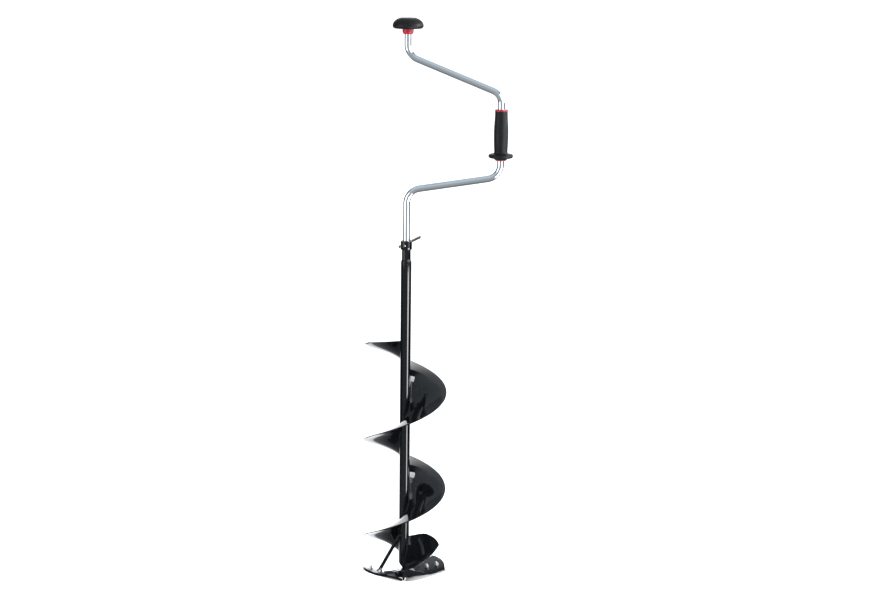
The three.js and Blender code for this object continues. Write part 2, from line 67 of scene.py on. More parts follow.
class Shader:
    """A node material with short calls for adding nodes round its Principled BSDF."""

    def __init__(self, name, **sockets):
        self.material = bpy.data.materials.new(name)
        self.material.use_nodes = True
        self.tree = self.material.node_tree
        self.surface = self.tree.nodes["Principled BSDF"]
        for socket, value in sockets.items():
            self.surface.inputs[socket.replace("_", " ")].default_value = value

    def node(self, kind, inputs=None, **settings):
        made = self.tree.nodes.new(kind)
        for key, value in settings.items():
            setattr(made, key, value)
        for socket, value in (inputs or {}).items():
            if isinstance(value, bpy.types.NodeSocket):
                self.tree.links.new(value, made.inputs[socket])
            else:
                made.inputs[socket].default_value = value
        return made

    def place(self, scale=(1, 1, 1), source="Object"):
        where = self.node("ShaderNodeTexCoord").outputs[source]
        return self.node("ShaderNodeMapping", {"Vector": where, "Scale": scale}).outputs["Vector"]

    def noise(self, where, scale, detail=3.0):
        inputs = {"Vector": where, "Scale": scale, "Detail": detail}
        return self.node("ShaderNodeTexNoise", inputs).outputs["Fac"]

    def span(self, value, low, high, start=0.3, end=0.7):
        inputs = {"Value": value, "From Min": start, "From Max": end, "To Min": low, "To Max": high}
        return self.node("ShaderNodeMapRange", inputs).outputs["Result"]

    def blend(self, value, first, second):
        mix = self.node("ShaderNodeMix", data_type="RGBA")
        self.tree.links.new(value, mix.inputs[0])
        mix.inputs[6].default_value = (*first, 1)
        mix.inputs[7].default_value = (*second, 1)
        return mix.outputs[2]

    def bump(self, height, strength, distance, under=None):
        inputs = {"Height": height, "Strength": strength, "Distance": distance}
        if under is not None:
            inputs["Normal"] = under
        return self.node("ShaderNodeBump", inputs).outputs["Normal"]

    def set(self, **links):
        for socket, output in links.items():
            self.tree.links.new(output, self.surface.inputs[socket.replace("_", " ")])
        return self.material


def powder_paint(name="black_powder_paint"):
    s = Shader(name, Specular_IOR_Level=0.46)
    where = s.place()
    cloud = s.noise(where, 22, 2)
    peel = s.noise(where, 650, 1.5)
    return s.set(
        Base_Color=s.blend(cloud, (0.0020, 0.0024, 0.0032), (0.0036, 0.0042, 0.0054)),
        Roughness=s.span(cloud, 0.025, 0.055),
        Normal=s.bump(peel, 0.03, 0.0003))


def drawn_tube(name="zinc_plated_tube"):
    """Bright zinc on drawn tube: faint lines and clouds run along the tube, by its own UV map."""
    s = Shader(name, Metallic=1.0)
    along = s.place((900, 7, 1), "UV")
    cloudy = s.place((40, 12, 1), "UV")
    lines = s.noise(along, 1.0, 3)
    cloud = s.noise(cloudy, 1.0, 2)
    return s.set(
        Base_Color=s.blend(cloud, (0.80, 0.83, 0.86), (0.92, 0.94, 0.96)),
        Roughness=s.span(lines, 0.06, 0.11),
        Normal=s.bump(lines, 0.06, 0.0002))


def brushed_steel(name, dark, light, stretch, roughness=(0.2, 0.34), metallic=1.0):
    s = Shader(name, Metallic=metallic)
    lines = s.noise(s.place(stretch), 1.0, 4)
    cloud = s.noise(s.place(), 60, 3)
    return s.set(
        Base_Color=s.blend(cloud, dark, light),
        Roughness=s.span(lines, *roughness),
        Normal=s.bump(lines, 0.12, 0.0002))


def moulded_rubber(name="black_rubber"):
    """Satin rubber with a fine stipple of dots and a dusty variation."""
    s = Shader(name, Specular_IOR_Level=0.28)
    where = s.place()
    dots = s.node("ShaderNodeTexVoronoi", {"Vector": where, "Scale": 560.0}).outputs["Distance"]
    grain = s.noise(where, 2600, 2)
    dust = s.noise(where, 45, 4)
    stipple = s.bump(s.span(dots, 1.0, 0.0, 0.15, 0.5), 0.35, 0.00025)
    return s.set(
        Base_Color=s.blend(dust, (0.0055, 0.0055, 0.006), (0.011, 0.011, 0.012)),
        Roughness=s.span(dust, 0.42, 0.58),
        Normal=s.bump(grain, 0.15, 0.0001, stipple))


def moulded_plastic(name, deep, light, roughness=(0.28, 0.4)):
    s = Shader(name)
    cloud = s.noise(s.place(), 90, 3)
    grain = s.noise(s.place(), 1500, 2)
    return s.set(
        Base_Color=s.blend(cloud, deep, light),
        Roughness=s.span(cloud, *roughness),
        Normal=s.bump(grain, 0.08, 0.0001))


PAINT = powder_paint()
ZINC = drawn_tube()
BLADE = brushed_steel("ground_blade_steel", (0.78, 0.78, 0.77), (0.90, 0.90, 0.89),
                      (60, 2600, 2600), (0.4, 0.5), 0.55)
PLATED = brushed_steel("plated_fastener", (0.55, 0.56, 0.57), (0.74, 0.75, 0.76),
                       (900, 900, 900), (0.22, 0.38))
DARK_STEEL = brushed_steel("blackened_steel", (0.17, 0.15, 0.135), (0.29, 0.265, 0.24),
                           (700, 700, 700), (0.34, 0.52))
RUBBER = moulded_rubber()
RED = moulded_plastic("red_plastic", (0.36, 0.004, 0.020), (0.46, 0.008, 0.030))
MAROON = moulded_plastic("dark_red_disc", (0.020, 0.002, 0.004), (0.034, 0.003, 0.006), (0.3, 0.45))
NYLON = moulded_plastic("natural_nylon", (0.62, 0.60, 0.53), (0.72, 0.70, 0.64), (0.4, 0.55))
FINISHES = {"black_paint": PAINT, "zinc_plate": ZINC, "blade_steel": BLADE, "bright_fastener": PLATED,
            "dark_steel": DARK_STEEL, "black_rubber": RUBBER, "red_plastic": RED, "nylon": NYLON}


# ---- Mesh helpers --------------------------------------------------------------------------------

def loft(rings, ring_closed=True, path_closed=False, caps=True):
    """Vertices and faces of a skin over rings of the same number of points."""
    rings = np.asarray(rings, float)
    count, size = rings.shape[:2]
    verts = rings.reshape(-1, 3)
    faces = []
    for i in range(count if path_closed else count - 1):
        j = (i + 1) % count
        for k in range(size if ring_closed else size - 1):
            m = (k + 1) % size
            faces.append((i * size + k, i * size + m, j * size + m, j * size + k))
    if caps and not path_closed:
        faces.append(tuple(range(size)))
        faces.append(tuple(reversed(range((count - 1) * size, count * size))))
    return verts, faces


def merged(*parts):
    """Several (vertices, faces) as one."""
    verts, faces, start = [], [], 0
    for v, f in parts:
        verts.append(np.asarray(v, float))
        faces += [tuple(start + i for i in face) for face in f]
        start += len(v)
    return np.concatenate(verts), faces


def moved(part, matrix):
    verts, faces = part
    whole = np.array(matrix)
    return verts @ whole[:3, :3].T + whole[:3, 3], faces


def lathe(outline, segments=72, radius_at=None):
    """Turns (radius, height) points round Z. radius_at(r, z, angle) can change a radius, as for a hexagon."""
    ends_on_axis = outline[0][0] == 0
    rings = []
    for i in range(segments):
        angle = 2 * math.pi * i / segments
        ring = []
        for r, z in outline:
            reach = radius_at(r, z, angle) if radius_at else r
            ring.append((reach * math.cos(angle), reach * math.sin(angle), z))
        rings.append(ring)
    return loft(rings, ring_closed=not ends_on_axis, path_closed=True)


def arc(radius, height, reach, rise, start, end, steps):
    angles = np.radians(np.linspace(start, end, steps + 1))
    return [(radius + reach * math.cos(a), height + rise * math.sin(a)) for a in angles]


def smooth_line(points, steps=8):
    """A Catmull-Rom line through (a, b) points."""
    points = [np.array(p, float) for p in points]
    line = []
    for i in range(len(points) - 1):
        p0, p1 = points[max(i - 1, 0)], points[i]
        p2, p3 = points[i + 1], points[min(i + 2, len(points) - 1)]
        v0, v1 = (p2 - p0) / 2, (p3 - p1) / 2
        for k in range(steps):
            t = k / steps
            line.append((2 * p1 - 2 * p2 + v0 + v1) * t ** 3
                        + (-3 * p1 + 3 * p2 - 2 * v0 - v1) * t * t + v0 * t + p1)
    return line + [points[-1]]


def tidy(mesh, sharp_degrees):
    """Welds doubled points, turns the faces outwards and marks edges sharper than the angle."""
    work = bmesh.new()
    work.from_mesh(mesh)
    bmesh.ops.remove_doubles(work, verts=work.verts, dist=1e-6)
    bmesh.ops.dissolve_degenerate(work, edges=work.edges, dist=1e-7)
    bmesh.ops.recalc_face_normals(work, faces=work.faces)
    limit = math.radians(sharp_degrees)
    for edge in work.edges:
        edge.smooth = not (edge.is_manifold and edge.calc_face_angle(0) > limit)
    for face in work.faces:
        face.smooth = True
    work.to_mesh(mesh)
    work.free()


def finished(obj, *modifiers):
    """Adds modifiers as (type, settings) and applies them."""
    for kind, settings in modifiers:
        modifier = obj.modifiers.new(kind.lower(), kind)
        for key, value in settings.items():
            setattr(modifier, key, value)
    graph = bpy.context.evaluated_depsgraph_get()
    applied = bpy.data.meshes.new_from_object(obj.evaluated_get(graph))
    obj.modifiers.clear()
    old, obj.data = obj.data, applied
    bpy.data.meshes.remove(old)


def make(name, part, material, body, replaces=(), sharp=38, bevel=0, cutters=()):
    """One finished piece of the object, from vertices in millimetres."""
    verts, faces = part
    mesh = bpy.data.meshes.new(name)
    mesh.from_pydata((np.asarray(verts) * MM).tolist(), [], faces)
    obj = bpy.data.objects.new(name, mesh)
    bpy.context.scene.collection.objects.link(obj)
    tidy(mesh, sharp)
    for cutter in cutters:
        tool = bpy.data.objects.new("tool", bpy.data.meshes.new("tool"))
        tool.data.from_pydata((np.asarray(cutter[0]) * MM).tolist(), [], cutter[1])
        bpy.context.scene.collection.objects.link(tool)
        tidy(tool.data, sharp)
        finished(obj, ("BOOLEAN", {"object": tool, "operation": "DIFFERENCE", "solver": "EXACT"}))
        bpy.data.objects.remove(tool)
    if bevel:
        finished(obj, ("BEVEL", {"width": bevel * MM, "segments": 3, "limit_method": "ANGLE",
                                 "angle_limit": math.radians(30), "harden_normals": False}))
    if cutters or bevel:
        tidy(obj.data, sharp)
    obj.data.materials.clear()
    obj.data.materials.append(material)
    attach(obj, body)
    if replaces:
        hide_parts(*replaces)
    return obj


# ---- Driving dimensions, the same as the solid model's ---------------------------------------------

TUBE_R, TUBE_BORE, TUBE_TIP, TIP_SLOPE, TUBE_TOP = 12.25, 10.5, 35.5, 1.1, 761.7
NECK_R, NECK_TOP, SPIGOT_R, SPIGOT_BOTTOM = 10.25, 809.8, 10.2, 728
COLLAR_R, COLLAR_BOTTOM, COLLAR_TOP = 13.2, 790.9, 811.3
CLAMP_Z, CLAMP_TURN, BAR_AT, BAR_LENGTH, BAR_R, BAR_TILT = 803, -12, 35.8, 59, 3.05, 27
HANDLE_R, HANDLE_BORE, HANDLE_BOTTOM, HANDLE_TOP = 8, 6.5, 555, 1303.1
THROW, BEND_R, CORNERS = 212, 34, (927.2, 959.7, 1147.3, 1233.1)
GRIP_BOTTOM, GRIP_TOP = 997.4, 1113.2
KNOB_BOTTOM, KNOB_TOP, KNOB_R, KNOB_WIDEST_Z, CAP_R = 1280.2, 1316.8, 35, 1299, 18.5
FLIGHT_R, PITCH, ZERO_Z, START, END = 95.8, 230, -2.1, 49, 900
SLOPE_X, SLOPE_Y, BLADE_Z, BLADE_T, HOLDER_T, HOLDER_R = 0.31, 0.22, -0.71, 2.5, 6, 96.5
BOLTS = ((25, 15), (57, 22), (80, 19))
HEAD_UP = Vector((-SLOPE_X, -SLOPE_Y, 1)).normalized()


# ---- Drive tube, neck and clamp --------------------------------------------------------------------

def tube_piece():
    outline = [(TUBE_BORE, 0), (TUBE_R - 0.25, 0), (TUBE_R, 0.3), (TUBE_R, TUBE_TOP - 0.5),
               (TUBE_R - 0.5, TUBE_TOP), (TUBE_BORE, TUBE_TOP)]
    verts, faces = lathe(outline, 96)
    low = verts[:, 2] < 1
    verts[low, 2] += TUBE_TIP + TIP_SLOPE * np.abs(verts[low, 0])
    return verts, faces


make("tube", tube_piece(), PAINT, "shaft", ["drive_tube"])

bore = HANDLE_R + 0.3
shoulder = [(TUBE_R, TUBE_TOP + 0.3), *arc(TUBE_R - 2.6, 763.6, 2.6, 2.2, 0, 68, 8),
            *arc(NECK_R + 1.2, 768.6, 1.2, 2.2, 240, 180, 7), (NECK_R, 772)]
make("neck", lathe([(bore, SPIGOT_BOTTOM), (SPIGOT_R, SPIGOT_BOTTOM), (SPIGOT_R, TUBE_TOP + 0.2), *shoulder,
                    (NECK_R, NECK_TOP - 0.4), (NECK_R - 0.4, NECK_TOP), (bore, NECK_TOP)]),
     PAINT, "shaft", ["neck_sleeve"])

make("collar", lathe([(NECK_R + 0.15, COLLAR_BOTTOM), (11.2, COLLAR_BOTTOM),
                      *arc(11.2, COLLAR_BOTTOM + 2.2, 2.0, 2.2, -75, 0, 6),
                      *arc(COLLAR_R - 0.9, COLLAR_TOP - 0.9, 0.9, 0.9, 0, 90, 4),
                      (NECK_R + 0.4, COLLAR_TOP), (NECK_R + 0.15, COLLAR_TOP - 0.4)]),
     PAINT, "shaft", ["clamp_collar"])


def radial(turn, height):
    """Stands what is turned round Z outwards from the tube, at a turn in degrees and a height."""
    return (Matrix.Translation((0, 0, height)) @ Matrix.Rotation(math.radians(turn), 4, "Z")
            @ Matrix.Rotation(-math.pi / 2, 4, "X"))


def thread(core, crest, low, high, pitch, segments=36):
    """A screw thread along Z, between two heights, closed at both ends."""
    rows = int((high - low) / pitch * 8) + 1
    rings = [np.zeros((segments, 3)) + (0, 0, low)]
    for row in range(rows + 1):
        z = low + (high - low) * row / rows
        fade = min(1, (high - z) / (1.2 * pitch) + 0.15)
        ring = []
        for k in range(segments):
            turn = k / segments
            phase = (z / pitch - turn) % 1
            radius = core + (crest - core) * fade * (1 - abs(2 * phase - 1)) ** 0.8
            ring.append((radius * math.cos(2 * math.pi * turn), radius * math.sin(2 * math.pi * turn), z))
        rings.append(ring)
    rings.append(np.zeros((segments, 3)) + (0, 0, high))
    return loft(rings, caps=False)


RIVET = radial(165, 801.7)
make("collar_pin", moved(lathe([(0, 9), (1.6, 9), (1.6, 13), (2.2, 13), *arc(0, 13.3, 2.3, 1.7, 0, 84, 8),
                                (0, 15)], 40), RIVET),
     PLATED, "shaft", ["collar_rivet"])

CLAMP = radial(CLAMP_TURN, CLAMP_Z)
boss_outline = [(3.6, 10.6), (6.5, 10.6), *arc(5.7, 21.2, 0.8, 0.8, 0, 90, 4), (4.1, 22), (3.6, 21.5)]
boss_weld = lathe(arc(6.4, 12.4, 1.7, 1.5, -90, 180, 9), 64,
                  lambda r, z, a: r + 0.25 * math.sin(19 * a) + 0.12 * math.sin(33 * a))
make("clamp_nut_boss", moved(merged(lathe(boss_outline, 56), boss_weld), CLAMP),
     PAINT, "shaft", ["clamp_boss"])

screw_head = lathe([(0, 30.4), (3.3, 30.4), (5.2, 31.6), (5.2, 39), *arc(3.9, 38.7, 1.3, 1.3, 15, 90, 4),
                    (0, 40)], 56)
screw_body = merged(thread(2.75, 3.2, 11.4, 31, 1.25), screw_head)
make("clamp_screw_turned", moved(screw_body, CLAMP), DARK_STEEL, "clamp_handle",
     ["clamp_screw"])

half = BAR_LENGTH / 2
BAR_WAIST_R = 2.9
bar_outline = [(0, -half), *arc(0, -half + 2.4, BAR_R, 2.4, -84, 0, 7), (BAR_R, -half + 5),
               (BAR_WAIST_R, -half + 6.5), (BAR_WAIST_R, half - 6.5), (BAR_R, half - 5),
               *arc(0, half - 2.4, BAR_R, 2.4, 0, 84, 7), (0, half)]
BAR = (CLAMP @ Matrix.Translation((0, 0, BAR_AT)) @ Matrix.Rotation(math.radians(-BAR_TILT), 4, "Z")
       @ Matrix.Rotation(math.pi / 2, 4, "Y"))
make("clamp_bar_rod", moved(lathe(bar_outline, 40), BAR), DARK_STEEL, "clamp_handle",
     ["clamp_bar"])


# ---- Crank tube ----------------------------------------------------------------------------------

def bent_line(corners, bend_radius, steps):
    """Points and directions of straight runs joined by round bends."""
    corners = [np.array(c, float) for c in corners]
    unit = lambda v: v / np.linalg.norm(v)
    line = [(corners[0], unit(corners[1] - corners[0]), 0.0)]
    for i in range(1, len(corners) - 1):
        into, out = unit(corners[i] - corners[i - 1]), unit(corners[i + 1] - corners[i])
        turn = math.acos(float(np.clip(into @ out, -1, 1)))
        start = corners[i] - into * bend_radius * math.tan(turn / 2)
        inwards = unit(out - into * math.cos(turn))
        for k in range(steps + 1):
            a = turn * k / steps
            point = start + into * bend_radius * math.sin(a) + inwards * bend_radius * (1 - math.cos(a))
            flat = math.sin(math.pi * k / steps) * min(1, turn)
            line.append((point, into * math.cos(a) + inwards * math.sin(a), flat))
    line.append((corners[-1], unit(corners[-1] - corners[-2]), 0.0))
    return line


MOUTH_FOOT, MOUTH_TOP = 25.0, 30.0


def crank_piece(segments=64):
    """The outside with its two open ends, a short way into the bore. A bend is a little flattened."""
    at = lambda x, z: (x, 0.0, z)
    line = bent_line([at(0, HANDLE_BOTTOM), at(0, CORNERS[0]), at(THROW, CORNERS[1]), at(THROW, CORNERS[2]),
                      at(0, CORNERS[3]), at(0, HANDLE_TOP)], BEND_R, 22)
    side = np.array((0.0, 1.0, 0.0))
    turns = np.linspace(0, 2 * math.pi, segments, endpoint=False)
    rings, lengths, travelled = [], [], 0.0

    def ring(point, way, radius, flat=0.0):
        across = np.cross(side, way)
        return (point + np.outer(np.cos(turns), across) * radius * (1 - 0.035 * flat)
                + np.outer(np.sin(turns), side) * radius * (1 + 0.015 * flat))

    for i, (point, way, flat) in enumerate(line):
        if i:
            gap = point - line[i - 1][0]
            pieces = max(1, int(np.linalg.norm(gap) // 25))
            for k in range(1, pieces + 1):
                share = k / pieces
                bend = line[i - 1][2] + (flat - line[i - 1][2]) * share
                direction = line[i - 1][1] + (way - line[i - 1][1]) * share
                rings.append(ring(line[i - 1][0] + gap * share, direction / np.linalg.norm(direction),
                                  HANDLE_R, bend))
                lengths.append(travelled + np.linalg.norm(gap) * share)
            travelled += np.linalg.norm(gap)
        else:
            rings.append(ring(point, way, HANDLE_R))
            lengths.append(0.0)
    low, high = line[0], line[-1]
    inner_high = [ring(high[0] - high[1] * d, high[1], HANDLE_BORE) for d in (0, MOUTH_TOP)]
    inner_low = [ring(low[0] + low[1] * d, low[1], HANDLE_BORE) for d in (MOUTH_FOOT, 0)]
    lengths = [MOUTH_FOOT, 0.0] + lengths + [travelled, travelled - MOUTH_TOP]
    verts, faces = loft(inner_low + rings + inner_high)
    return verts, faces, lengths, segments


def crank_with_lines():
    """The crank with a UV map whose V is the length along the tube, in metres."""
    verts, faces, lengths, segments = crank_piece()
    obj = make("crank", (verts, faces), ZINC, "crank", ["crank_tube"], sharp=50)
    mesh = obj.data
    rings = len(lengths)
    uv = mesh.uv_layers.new(name="lines")
    for polygon in mesh.polygons:
        ids = [mesh.loops[k].vertex_index for k in polygon.loop_indices]
        rows, cols = [i // segments for i in ids], [i % segments for i in ids]
        wraps = max(cols) - min(cols) > segments // 2 and len(ids) == 4
        for loop_index, row, col in zip(polygon.loop_indices, rows, cols):
            turn = (col + segments if wraps and col < segments // 2 else col) / segments
            uv.data[loop_index].uv = (turn * 0.05, lengths[min(row, rings - 1)] * MM)
    return obj


crank_with_lines()


# ---- Grip and knob ---------------------------------------------------------------------------------

grip_at = Matrix.Translation((THROW, 0, 0))
core_top = GRIP_TOP - 3.6
core_outline = [
    (bore, GRIP_BOTTOM + 0.4), (bore + 0.4, GRIP_BOTTOM), (11.7, GRIP_BOTTOM), (12.4, GRIP_BOTTOM + 0.7),
    (12.5, GRIP_BOTTOM + 2), (11, GRIP_BOTTOM + 2.2), (11, core_top), (14.9, core_top),
    *arc(13.8, GRIP_TOP - 1.3, 1.1, 1.3, 0, 90, 5), (bore + 0.4, GRIP_TOP), (bore, GRIP_TOP - 0.4)]
make("grip_bush", moved(lathe(core_outline), grip_at), RED, "grip", ["grip_core"])

sleeve_low, sleeve_high = GRIP_BOTTOM + 2.3, core_top - 0.2
sleeve_foot = smooth_line([(14.9, sleeve_low + 0.6), (15.4, 1001.6), (17.2, 1003.1), (20.5, 1003.5)], 4)
sleeve_flange = [*arc(24.4, 1007.9, 3.6, 4.4, -84, 84, 14), (21, 1012.5)]
sleeve_body = smooth_line([
    (17.6, 1013.5), (15.6, 1015.6), (15.2, 1019), (15.7, 1030), (16.2, 1044), (16.3, 1062),
    (15.9, 1076), (15.0, 1089), (14.5, 1099), (14.4, sleeve_high - 1)], 5)
sleeve_outline = [(11.3, sleeve_low), (14.2, sleeve_low), *sleeve_foot, *sleeve_flange, *sleeve_body,
                  (13.9, sleeve_high), (11.3, sleeve_high)]
make("grip_sleeve", moved(lathe(sleeve_outline, 144), grip_at), RUBBER, "grip",
     ["grip_rubber"], sharp=45)

cup = smooth_line([(10.0, KNOB_BOTTOM + 0.3), (11.7, KNOB_BOTTOM + 2.2), (12.7, KNOB_BOTTOM + 5.4),
                   (12.8, KNOB_BOTTOM + 8)], 5)
cup_outline = [(bore, KNOB_BOTTOM + 0.5), (bore + 0.4, KNOB_BOTTOM), (9.2, KNOB_BOTTOM), *cup, (12.8, 1291.1),
               (12, 1291.3), (12, HANDLE_TOP - 0.3), (bore, HANDLE_TOP - 0.3)]
make("knob_bush", lathe(cup_outline), RED, "knob", ["knob_core"])

knob_outline = [
    (12.3, 1292), (12.7, 1291.7), (20, 1292), (25, 1292.5),
    *arc(29.4, KNOB_WIDEST_Z, 5.6, 6.3, -84, 0, 10)[:-1],
    *arc(9, KNOB_WIDEST_Z, KNOB_R - 9, KNOB_TOP + 0.6 - KNOB_WIDEST_Z, 0, 66.5, 26),
    (CAP_R + 0.7, KNOB_TOP - 1.0), (CAP_R + 0.2, KNOB_TOP - 1.2), (CAP_R + 0.2, KNOB_TOP - 3.3),
    (11.5, KNOB_TOP - 3.3), (11.5, 1305.5), (12.3, 1303.4)]
make("knob_cover", lathe(knob_outline, 144), RUBBER, "knob", ["knob_body"], sharp=45)

disc_outline = [
    (0, KNOB_TOP - 3), (CAP_R - 0.3, KNOB_TOP - 3), (CAP_R, KNOB_TOP - 2.7),
    *arc(CAP_R - 0.9, KNOB_TOP - 1.1, 0.9, 1.0, 0, 90, 4), (CAP_R - 2.2, KNOB_TOP - 0.1),
    (CAP_R - 2.6, KNOB_TOP - 0.5), (CAP_R - 3.2, KNOB_TOP - 0.55), (CAP_R - 3.6, KNOB_TOP - 0.15),
    (9, KNOB_TOP), (0, KNOB_TOP)]
make("knob_disc", lathe(disc_outline, 96), MAROON, "knob", ["knob_cap"])


# ---- Flights -------------------------------------------------------------------------------------

def height_on(points, angle):
    """The height of a smooth curve through (angle, height) points, carried on straight past the last."""
    last = len(points) - 1

    def slope(i):
        a, b = points[max(i - 1, 0)], points[min(i + 1, last)]
        return (b[1] - a[1]) / (b[0] - a[0])

    if angle >= points[last][0]:
        return points[last][1] + slope(last) * (angle - points[last][0])
    i = max([k for k in range(last) if points[k][0] <= angle], default=0)
    (x0, z0), (x1, z1) = points[i], points[i + 1]
    width = x1 - x0
    t = (angle - x0) / width
    return (z0 * (1 + 2 * t) * (1 - t) ** 2 + z1 * t * t * (3 - 2 * t)
            + width * (slope(i) * t * (1 - t) ** 2 - slope(i + 1) * t * t * (1 - t)))


def regular(angle):
    """The height that the constant pitch gives at an angle in degrees."""
    return ZERO_Z + PITCH * angle / 360


RIM_START = [(48, 43), (70, 51.5), (90, 58)]
HUB_START = [(48, 12.5), (60, 22), (75, 33.5), (90, 46), (104, 57)]
MAIN_RIM = [*RIM_START, (113, regular(113)), (130, regular(130))]
MAIN_HUB = [*HUB_START, (120, 70), (140, 85), (165, regular(165)), (185, regular(185))]
SHORT_RIM = [*RIM_START, (106, 65.5), (132, 87), (150, 105.7)]
SHORT_HUB = [*HUB_START, (120, 72), (140, 95), (162, 113.5)]
SHORT_END = [(0, 162), (0.42, 168), (0.67, 163), (0.87, 156), (1, 150)]
HUB_R = 12.1


def on_flight(rim, hub, across, radius, angle):
    low = height_on(hub, angle)
    turn = math.radians(angle)
    return np.array((radius * math.cos(turn), radius * math.sin(turn),
                     low + (height_on(rim, angle) - low) * across))


HUB_LEAD, ROUNDED_OVER, ROUNDED_BY = 8, 12, 9


def main_point(across, along):
    """The main flight: its hub ends a little later than its rim, and its last corner is rounded."""
    angle = START + (END + HUB_LEAD * (1 - across) - START) * along
    corner = max(angle - (END - ROUNDED_OVER), 0) / ROUNDED_OVER
    outer = FLIGHT_R - ROUNDED_BY * corner ** 2
    return on_flight(MAIN_RIM, MAIN_HUB, across, HUB_R + (outer - HUB_R) * across, angle)


def short_point(across, along):
    angle = START + (height_on(SHORT_END, across) - START) * along
    return on_flight(SHORT_RIM, SHORT_HUB, across, HUB_R + (FLIGHT_R - HUB_R) * across, angle)


def normal_at(point_at, across, along):
    step = 1e-4
    forward = point_at(across, along + step) - point_at(across, along - step)
    outward = point_at(across + step, along) - point_at(across - step, along)
    normal = np.cross(forward, outward)
    return -normal / np.linalg.norm(normal), outward / np.linalg.norm(outward)


def flight_piece(point_at, along_steps, across_steps, thickness=2.0):
    """A sheet with a rounded rim. Each ring runs out on the upper side, round the rim and back below."""
    rings = []
    for i in range(along_steps + 1):
        along = i / along_steps
        upper, lower = [], []
        for k in range(across_steps + 1):
            across = k / across_steps * (1 - 0.5 * thickness / (FLIGHT_R - HUB_R))
            point = point_at(across, along)
            normal, outward = normal_at(point_at, across, along)
            upper.append(point + normal * thickness / 2)
            lower.append(point - normal * thickness / 2)
        edge = [point + (normal * math.cos(a) + outward * math.sin(a)) * thickness / 2
                for a in np.radians((30, 60, 90, 120, 150))]
        rings.append(upper + edge + lower[::-1])
    return loft(rings)


def bead(path, radius, ripple=2.4, squash=0.8, up=None):
    """A rippled weld bead along a path of points, tapered at both ends."""
    path = np.asarray(path, float)
    steps = np.linalg.norm(np.diff(path, axis=0), axis=1)
    length = np.concatenate([[0], np.cumsum(steps)])
    samples = np.linspace(0, length[-1], max(6, int(length[-1] / 0.55)))
    points = np.stack([np.interp(samples, length, path[:, k]) for k in range(3)], 1)
    ways = np.gradient(points, axis=0)
    ways /= np.linalg.norm(ways, axis=1)[:, None]
    rings = []
    for point, way, at in zip(points, ways, samples):
        side = np.cross(way, (0, 0, 1) if up is None else up)
        side /= np.linalg.norm(side)
        top = np.cross(side, way)
        end = min(at, length[-1] - at)
        size = radius * min(1, 0.25 + end / (1.5 * radius))
        wave = (at / ripple) % 1
        size *= 0.88 + 0.2 * math.sin(math.pi * wave) ** 0.7 + 0.05 * math.sin(at * 1.37)
        turns = np.linspace(0, 2 * math.pi, 14, endpoint=False)
        lean = 0.25 * size * math.sin(2 * math.pi * wave)
        rings.append(point + np.outer(np.cos(turns), side) * size
                     + np.outer(np.sin(turns), top) * size * squash + way * lean * 0.4)
    return loft(rings)


def hub_bead(point_at, start, end, below, radius=1.9, off_sheet=1.3, off_hub=0.7):
    """A weld bead in the corner between a flight and the tube, over part of the flight's length."""
    points = []
    for along in np.linspace(start, end, 60):
        point = point_at(0, along)
        normal, outward = normal_at(point_at, 0, along)
        points.append(point + normal * (-off_sheet if below else off_sheet) + outward * off_hub)
    return bead(points, radius)


make("flight_main", flight_piece(main_point, 400, 14), PAINT, "shaft", ["main_flight"])
half_turn = Matrix.Rotation(math.pi, 4, "Z")
make("flight_short", moved(flight_piece(short_point, 70, 18), half_turn), PAINT, "shaft",
     ["short_flight"])

span = END + HUB_LEAD - START
STITCH_HALF = 34
stitches = []
for centre in range(180, END, 180):
    low, high = (centre - STITCH_HALF - START) / span, (centre + STITCH_HALF - START) / span
    stitches += [hub_bead(main_point, low, high, below) for below in (False, True)]
stitches.append(hub_bead(main_point, (872 - START) / span, 1, True))
stitches.append(hub_bead(main_point, 0.004, 0.075, False))
stitches += [moved(hub_bead(short_point, 0.1, 0.99, below), half_turn) for below in (False, True)]
make("flight_welds", merged(*stitches), PAINT, "shaft", sharp=60)


# ---- Cutting head --------------------------------------------------------------------------------

def level(x, y, height):
    """The height of a plane that lies parallel to the head's sloping plates."""
    return height + SLOPE_X * x + SLOPE_Y * y


BLADE_INNER, BLADE_OUTER = 3, 101.2
FRONT = smooth_line([(BLADE_INNER, -1), (20, -7.6), (38.7, -11.2), (66.6, -11), (83, -8.8),
                     (BLADE_OUTER, -7)], 9)
BACK_INNER, BACK_RUN = np.array((12, 33)), np.array((73, 11))
GROUND = ((0, 0), (0, 0.12), (1.1, 0.75), (7.5, BLADE_T))


def blade_piece():
    """A blade that is flat below, with a wide bevel and a fine honed edge above its curved front. GROUND is
    its thickness at depths behind the edge."""
    rings = []
    for front in FRONT:
        share = (front[0] - BLADE_INNER) / (BLADE_OUTER - BLADE_INNER)
        run = BACK_INNER + BACK_RUN * share - front
        reach = np.linalg.norm(run)
        ring = []
        for depth, thickness in (*GROUND, (reach, BLADE_T), (reach, 0)):
            x, y = front + run * depth / reach
            ring.append((x, y, level(x, y, BLADE_Z + thickness)))
        rings.append(ring)
    return loft(rings)


def on_plate(x, y):
    """Stands a turned piece on the head's slope, with its height 0 on the blade's underside."""
    turn = Vector((0, 0, 1)).rotation_difference(HEAD_UP).to_matrix().to_4x4()
    return Matrix.Translation((x, y, level(x, y, BLADE_Z))) @ turn


def plate(outline, bottom, top):
    """A sloping plate with this outline seen from above."""
    low = [(x, y, level(x, y, bottom)) for x, y in outline]
    high = [(x, y, level(x, y, top)) for x, y in outline]
    return loft([low, high])


HOLDER_LOW = BLADE_Z + BLADE_T + 0.05
HOLDER_HIGH = BLADE_Z + BLADE_T + 0.3 + HOLDER_T


